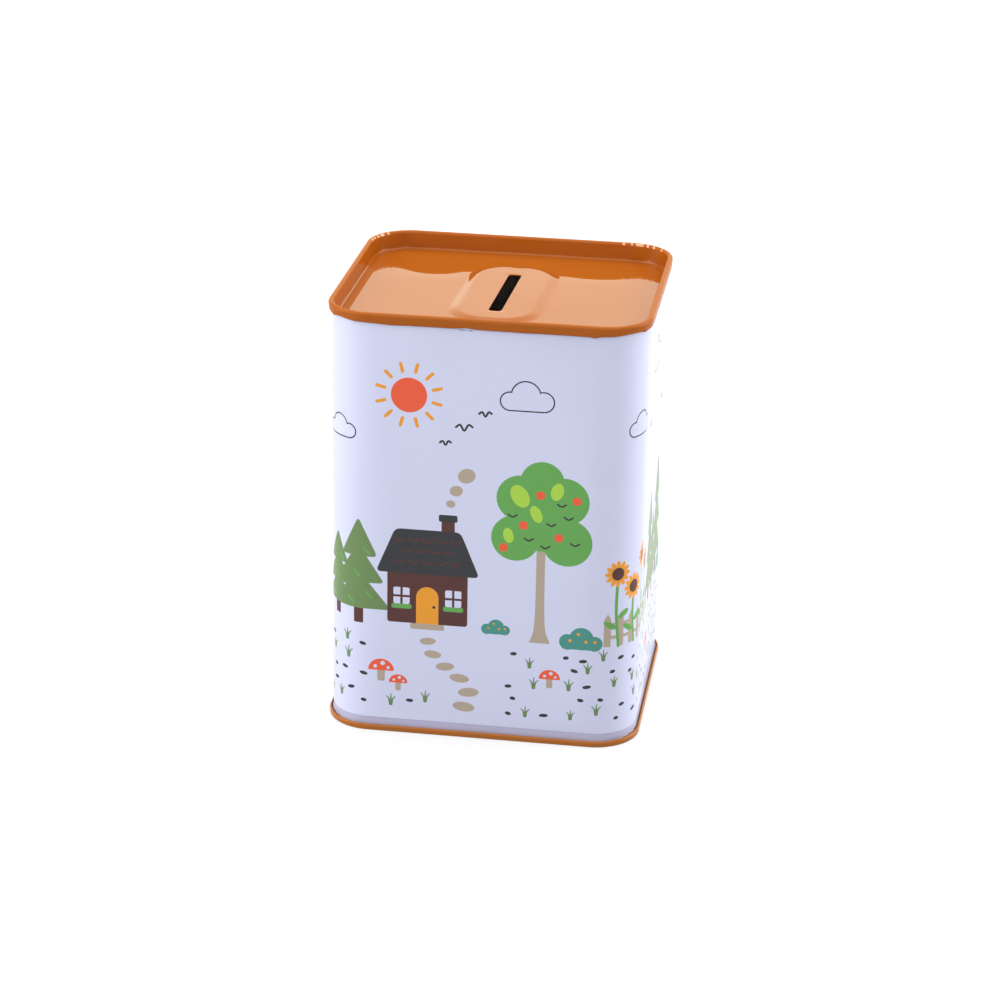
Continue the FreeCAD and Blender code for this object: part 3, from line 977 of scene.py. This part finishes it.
# Lid: orange lacquered tinplate pressed into a sunken panel with a raised pad and a punched coin slot.
# Its wall plugs into the mouth of the body and rolls over into a rim, whose lower edge is left a little
# wavy by the rolling and whose lacquer is chipped inside its top, mostly at the back corners.
recess_depth = 4.9 * mm
rim_height = 2.7 * mm
lip_bend = 0.05 * mm
pad_half = (12.2 * mm, 24.6 * mm)
pad_corner = 10.6 * mm
pad_slope = 3.2 * mm
pad_height = 0.72 * mm
pad_turn = math.radians(-1.6)
slot_half = (1.68 * mm, 15.6 * mm)
slot_middle = (0.2 * mm, -0.6 * mm)
slot_corner = 0.9 * mm
slot_burr = 0.06 * mm
slot_edge_drop = 0.04 * mm
plug_clearance = 0.1 * mm
lid_corner_steps = 26
lid_longest_face = 0.75 * mm

plug_out = -plate - plug_clearance
plug_in = plug_out - plate
lip = lip_bend + plate
lip_edge = rim_overhang - lip
roll = (rim_overhang - plug_in) / 2
roll_middle = ((rim_overhang + plug_in) / 2, lid_high.z - roll)
rim_foot = lid_high.z - rim_height
lip_middle = (lip_edge, rim_foot + lip)
panel_top = lid_high.z - recess_depth
panel_edge = plug_in - panel_bend
bend_middle = (panel_edge, panel_top + panel_bend)

lid_alongs = places_along(lid_corner_steps, lid_longest_face)
pad_way = np.array(Matrix.Rotation(pad_turn, 2))

# Dents in the thin panel beside the pad: (x, y, half lengths along x and y, depth) in millimetres.
panel_dents = ((-21.5, 24, 15, 15, 0.5), (20, 26, 15, 14, 0.26), (24, -16, 14, 16, 0.1))
buckle_height = 0.045 * mm
buckle_edge = 1.2 * mm


def panel_wave(x, y):
    """Slow buckling and dents of the thin panel, the buckling fading out towards its edges."""
    waves = math.sin(x / (7.4 * mm) + 0.6) * math.cos(y / (9.5 * mm) - 0.4)
    waves += 0.6 * math.sin((x + y) / (5.2 * mm))
    fade_x = 1 - min(1.0, abs(x) / (half_width - buckle_edge)) ** 4
    fade_y = 1 - min(1.0, abs(y) / (half_depth - buckle_edge)) ** 4
    lift = buckle_height * waves * fade_x * fade_y
    for middle_x, middle_y, half_x, half_y, depth in panel_dents:
        across = abs(x / mm - middle_x) / half_x, abs(y / mm - middle_y) / half_y
        if max(across) < 1:
            lift -= depth * mm * math.prod(0.5 + 0.5 * math.cos(math.pi * share) for share in across)
    return lift


def lid_panel_rings(level, slot_ease):
    """Rings of one face of the lid's panel, from its edge over the pad to the coin slot."""
    edge = wall_ring(panel_edge, level, lid_alongs)
    pad = step_rings(level, *pad_half, pad_corner, pad_slope, pad_height, 0.2, lid_alongs, 12)
    top = level + pad_height
    rims = []
    for ease in (1.2 * mm, slot_burr, 0.5 * slot_burr, 0):
        drop = slot_ease * (1 - min(1, ease / slot_burr)) ** 2
        half_x, half_y = slot_half[0] + ease, slot_half[1] + ease
        rims.append(round_ring(half_x, half_y, slot_corner + ease, top - drop, lid_alongs))
    for ring in rims:
        ring[:, :2] += slot_middle
    for ring in (*pad, *rims):
        ring[:, :2] = ring[:, :2] @ pad_way.T
    rings = [edge, *rings_between(edge, pad[0], 12), *pad, *rings_between(pad[-1], rims[0], 5), *rims]
    for ring in rings[1:-3]:
        ring[:, 2] += [panel_wave(x, y) for x, y, _ in ring]
    return rings


# Lower edge of the rim: facets at the corners, where the edge was gathered, and a few sags and lifts,
# as (start, end, depth) and (middle, half length, drop, out) along the wall in millimetres.
rim_facets = (
    (27.7, 32.8, 0.16), (32.8, 40.8, 0.34), (40.8, 48.6, 0.22),
    (-32.3, -27.0, 0.16), (-38.6, -32.3, 0.34), (-47.0, -38.6, 0.24),
    (94.5, 101.0, 0.22), (101.0, 108.2, 0.34), (108.2, 115.0, 0.22),
    (-102.4, -95.2, 0.22), (-109.6, -102.4, 0.34), (-116.0, -109.6, 0.2),
)
facet_lift = 0.2
gathered = {32.8, 40.8, -32.3, -38.6, 101.0, 108.2, -102.4, -109.6}
rim_sags = (
    (-38.0, 13.0, -0.5, 0.0), (38.0, 12.0, -0.5, 0.0), (105.0, 12.0, -0.35, 0.0),
    (-105.0, 12.0, -0.35, 0.0), (-22.1, 4.6, 0.2, -0.03), (-38.6, 1.3, 0.22, 0.04),
    (27.7, 1.6, 0.24, 0.0), (40.8, 1.5, 0.2, 0.05), (-4.3, 2.6, -0.22, 0.0),
    (12.5, 9.0, 0.1, -0.04), (62.0, 5.5, 0.22, -0.03), (79.0, 7.0, -0.12, 0.0),
    (101.0, 1.4, 0.2, 0.04), (126.0, 6.0, 0.24, -0.03), (-131.0, 7.0, 0.18, -0.03),
    (-109.6, 1.4, 0.2, 0.04), (-84.0, 5.0, 0.26, -0.03), (-66.0, 6.5, 0.12, -0.04),
)


def lower_edge(along):
    """(out, drop) of the rim's lower edge at a distance along the wall, in metres."""
    s = (along / mm + girth / mm / 2) % (girth / mm) - girth / mm / 2
    out, drop = 0.0, 0.03 * math.sin(s / 3.1) + 0.02 * math.sin(s / 1.37 + 1)
    for start, end, depth in rim_facets:
        share = (s - start) / (end - start)
        if 0 < share < 1:
            lifts = [facet_lift if end_place in gathered else 0 for end_place in (start, end)]
            out += lifts[0] * (1 - share) + lifts[1] * share - depth * 4 * share * (1 - share)
    for middle, half, sag, bulge in rim_sags:
        share = abs(s - middle) / half
        if share < 1:
            ease = 0.5 + 0.5 * math.cos(math.pi * share)
            out += bulge * ease
            drop += sag * ease
    return out * mm, drop * mm


edges_along = np.array([lower_edge(along) for along in lid_alongs])
outward = wall_ring(1.0, 0.0, lid_alongs) - wall_ring(0.0, 0.0, lid_alongs)


def rim_ring(out, level):
    """Ring of the rim, drawn towards the shape of its lower edge the lower it lies."""
    pull = max(0.0, min(1.0, (roll_middle[1] - level) / (roll_middle[1] - rim_foot))) ** 0.8
    ring = wall_ring(out, level, lid_alongs) + outward * (edges_along[:, 0] * pull)[:, None]
    ring[:, 2] -= edges_along[:, 1] * pull
    return ring


rim_section = (
    straight((plug_in, bend_middle[1]), (plug_in, roll_middle[1]), 5)[:-1]
    + arc(roll_middle, roll, 180, 0, 16)
    + straight((rim_overhang, roll_middle[1]), (rim_overhang, lip_middle[1]), 6)[1:-1]
    + arc(lip_middle, lip, 0, -90, 5)
    + arc(lip_middle, lip_bend, -90, 0, 3)
    + straight((rim_overhang - plate, lip_middle[1]), (rim_overhang - plate, roll_middle[1]), 4)[1:-1]
    + arc(roll_middle, roll - plate, 0, 180, 12)
)
upper_bend_section = arc(bend_middle, panel_bend, 270, 360, 6)[1:-1]
under_bend_section = arc(bend_middle, panel_bend + plate, 0, -90, 6)[:-1]
upper_rings = lid_panel_rings(panel_top, slot_edge_drop)[::-1]
upper_rings += [wall_ring(out, level, lid_alongs) for out, level in upper_bend_section]
lid_rings = (
    upper_rings
    + [rim_ring(out, level) for out, level in rim_section]
    + [wall_ring(out, level, lid_alongs) for out, level in under_bend_section]
    + lid_panel_rings(panel_top - plate, 0)
)

lid_orange = colour(166, 87, 20)
lid_smooth = 0.06
lid_lacquer = lacquered("lid_orange_lacquer", lid_orange, lid_smooth)
lid_points = np.concatenate(lid_rings)
lid_faces = ring_faces(lid_rings, True)

# The rim and the wall under it are handled and rubbed, so less varnish is left on them than on the panel.
rim_varnish = 0.42
rim_lacquer = lacquered("lid_rim_lacquer", lid_orange, lid_smooth, rim_varnish)
first_rim_ring = len(upper_rings)
last_rim_ring = first_rim_ring + len(rim_section)
rim_faces = range(first_rim_ring * len(lid_alongs), last_rim_ring * len(lid_alongs))
lid_slots = [1 if place in rim_faces else 0 for place in range(len(lid_faces))]
lid = make_piece("push_on_lid", lid_points, lid_faces, [lid_lacquer, rim_lacquer], lid_slots)

# Chips in the lacquer along the inner top of the rim: (middle, half length) along the wall in millimetres.
rim_chips = (
    (116.0, 0.5), (114.0, 0.5), (111.6, 1.4), (109.2, 0.6), (107.0, 0.4), (104.0, 0.5),
    (-97.6, 0.6), (-99.3, 0.6), (-100.9, 0.5), (-102.9, 1.0), (-105.2, 0.5), (13.4, 0.4),
)
chip_reach = 0.55
chip_angle = 142
chip_middle = arc(roll_middle, roll, chip_angle, chip_angle, 1)[0]
wear_values = np.zeros((len(lid_rings), len(lid_alongs)))
for row, (out, level) in enumerate(rim_section):
    across = math.hypot(out - chip_middle[0], level - chip_middle[1]) / mm / chip_reach
    for place, along in enumerate(lid_alongs):
        s = (along / mm + girth / mm / 2) % (girth / mm) - girth / mm / 2
        chip = max(1 - ((s - middle) / half) ** 2 for middle, half in rim_chips)
        wear_values[first_rim_ring + row, place] = max(0.0, min(1.0, 1.6 * chip, 1.6 * (1 - across**2)))
lid.data.attributes.new("wear", "FLOAT", "POINT").data.foreach_set("value", wear_values.ravel())

even_shading(lid)
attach(lid, "lid")
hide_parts("lid")


# Studio: a plain pale floor and white surroundings, soft boxes at the sides, above and in front, a warm one
# behind that the lid's panel mirrors, low fills that are not mirrored, and the camera where the photograph
# was taken from.
floor_half = 3.0
floor_mesh = bpy.data.meshes.new("floor")
floor_corners = [(x * floor_half, y * floor_half, 0) for x, y in ((-1, -1), (1, -1), (1, 1), (-1, 1))]
floor_mesh.from_pydata(floor_corners, [], [(0, 1, 2, 3)])
floor = bpy.data.objects.new("floor", floor_mesh)
bpy.context.scene.collection.objects.link(floor)


def background_rays(tree):
    """Value of 1 for rays that see the white background: the camera's, reflections and clear faces."""
    rays = add(tree, "LightPath")
    shown = rays.outputs["Is Camera Ray"]
    for kind in ("Is Glossy Ray", "Is Transmission Ray"):
        shown = maths(tree, "MAXIMUM", shown, rays.outputs[kind])
    return shown


paper_floor, floor_tree, floor_surface = start_finish("pale_floor")
floor_surface.inputs["Base Color"].default_value = (0.3, 0.3, 0.3, 1)
floor_surface.inputs["Roughness"].default_value = 0.9
floor_surface.inputs["Specular IOR Level"].default_value = 0.0
floor_place = add(floor_tree, "TexCoord").outputs["Object"]
floor_away = add(floor_tree, "VectorMath", {"operation": "LENGTH"}, Vector=floor_place).outputs["Value"]
floor_fade = add(
    floor_tree, "MapRange", Value=floor_away, From_Min=0.08, From_Max=1.2, To_Min=0.64, To_Max=1.0
).outputs["Result"]
floor_glow = maths(floor_tree, "MULTIPLY", background_rays(floor_tree), floor_fade)
floor_surface.inputs["Emission Color"].default_value = (1, 1, 1, 1)
floor_tree.links.new(floor_glow, floor_surface.inputs["Emission Strength"])
floor_mesh.materials.append(paper_floor)

world = bpy.data.worlds.new("studio")
bpy.context.scene.world = world
world.use_nodes = True
sky = world.node_tree
sky_colour = blend_colours(sky, "MIX", background_rays(sky), (0.45, 0.45, 0.45, 1), (1, 1, 1, 1))
sky.links.new(sky_colour, sky.nodes["Background"].inputs["Color"])


def soft_box(name, place, aim, width, height, watts, tint=(1, 1, 1), mirrored=True):
    """Rectangular studio light turned towards a point, with or without its image in glossy faces."""
    lamp = bpy.data.lights.new(name, "AREA")
    lamp.shape = "RECTANGLE"
    lamp.size = width
    lamp.size_y = height
    lamp.energy = watts
    lamp.color = tint
    light = bpy.data.objects.new(name, lamp)
    light.location = place
    light.rotation_euler = (Vector(aim) - Vector(place)).to_track_quat("-Z", "Y").to_euler()
    light.visible_glossy = mirrored
    bpy.context.scene.collection.objects.link(light)


middle = (0, 0, 0.5 * lid_high.z)
soft_box("left_box", (-1.0, -0.38, 0.40), middle, 1.0, 1.2, 11.0)
soft_box("right_box", (1.0, 0.30, 0.40), middle, 1.0, 1.2, 10.5)
soft_box("top_box", (0, 0.2, 1.05), middle, 1.2, 1.0, 9.0)
soft_box("back_box", (0, 1.2, 0.62), middle, 1.5, 1.2, 3.9, tint=(1.0, 0.96, 0.465))
soft_box("front_fill", (0.3, -1.28, 0.7), middle, 1.6, 1.0, 8.2)
fill_level = 0.13
fill_aim = (0, 0, fill_level)
soft_box("left_fill", (-0.9, -0.05, fill_level), fill_aim, 0.8, 0.22, 2.4, mirrored=False)
soft_box("right_fill", (0.74, 0.56, fill_level), fill_aim, 0.8, 0.22, 3.0, mirrored=False)
soft_box("back_fill", (0, 0.9, fill_level), fill_aim, 0.8, 0.22, 0.8, mirrored=False)

camera_data = bpy.data.cameras.new("camera")
camera_data.sensor_width = 36
camera_data.lens = 104.4
camera = bpy.data.objects.new("camera", camera_data)
camera_place = (0.10024, -0.70566, 0.33614)
azimuth, elevation, tilt = math.radians(8.1108), math.radians(21.7270), math.radians(0.9930)
level_share = math.cos(elevation)
back = Vector((math.sin(azimuth) * level_share, -math.cos(azimuth) * level_share, math.sin(elevation)))
level_right = Vector((math.cos(azimuth), math.sin(azimuth), 0))
level_up = back.cross(level_right)
right = math.cos(tilt) * level_right + math.sin(tilt) * level_up
up = math.cos(tilt) * level_up - math.sin(tilt) * level_right
turned = Matrix((right, up, back)).transposed().to_4x4()
camera.matrix_world = Matrix.Translation(camera_place) @ turned
bpy.context.scene.collection.objects.link(camera)
bpy.context.scene.camera = camera
bpy.context.scene.view_settings.view_transform = "Standard"
